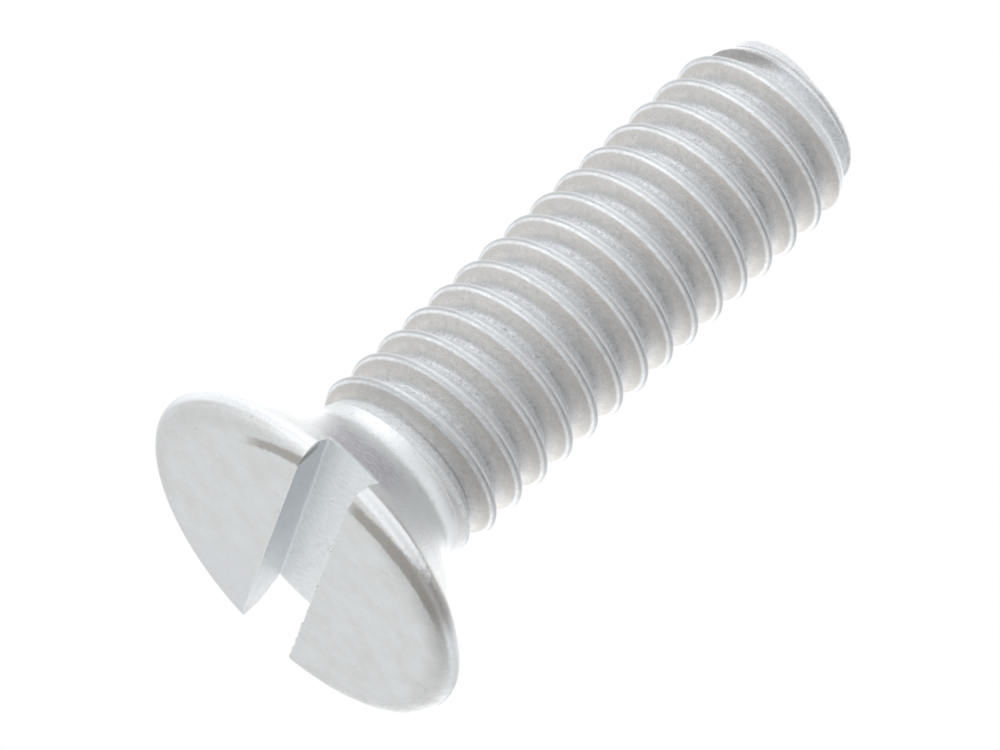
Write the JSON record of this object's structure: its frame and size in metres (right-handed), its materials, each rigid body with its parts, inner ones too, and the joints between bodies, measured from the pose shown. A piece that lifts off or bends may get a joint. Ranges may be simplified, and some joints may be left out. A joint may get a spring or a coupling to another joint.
{
  "type": "machine screw",
  "caption": "Slotted countersunk machine screw with a right-hand thread up to a short plain neck under its flat head.",
  "frame": {"origin": "centre of the flat face of the head, on the screw's axis", "axes": "+Z along the screw from its head to its tip, X along the driver slot"},
  "size_m": [0.0072, 0.0074, 0.0138],
  "materials": {
    "plated_steel": "matt bright zinc plating"
  },
  "bodies": {
    "root": {"screw": "plated_steel"}
  },
  "joints": []
}
